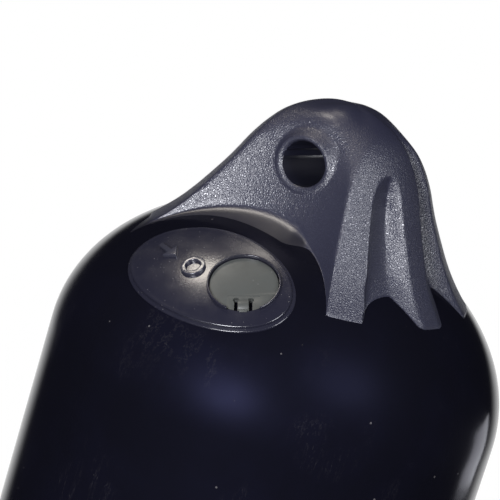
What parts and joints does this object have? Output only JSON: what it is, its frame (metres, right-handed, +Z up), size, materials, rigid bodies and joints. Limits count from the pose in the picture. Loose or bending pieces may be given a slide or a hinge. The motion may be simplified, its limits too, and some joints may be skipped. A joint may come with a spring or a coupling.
{
  "type": "boat fender",
  "caption": "Cylindrical inflatable boat fender with a ribbed, moulded rope eye at each end and a lidded inflation valve.",
  "frame": {"origin": "centre of the upper rope eye, the eye at the valve's end, from which the fender hangs", "axes": "+Z up along the fender's length, -Y out of the front, where the valve is; the rope eyes run along Y"},
  "size_m": [0.21, 0.21, 0.6217],
  "materials": {
    "navy_vinyl": "glossy body, matte grained heads",
    "grey_valve": "matte",
    "black_rubber": "matte",
    "grey_lid": "satin"
  },
  "bodies": {
    "fender": {"fender_shell": "navy_vinyl", "valve_body": "grey_valve", "valve_core": "black_rubber"},
    "lid": {"valve_lid": "grey_lid"}
  },
  "joints": [
    {"name": "lid_hinge", "type": "hinge", "parent": "fender", "child": "lid", "pos_m": [0.02816, -0.07957, -0.05474], "axis": [0.7583, 0.5889, 0.2795], "range_deg": [0, 110]}
  ]
}
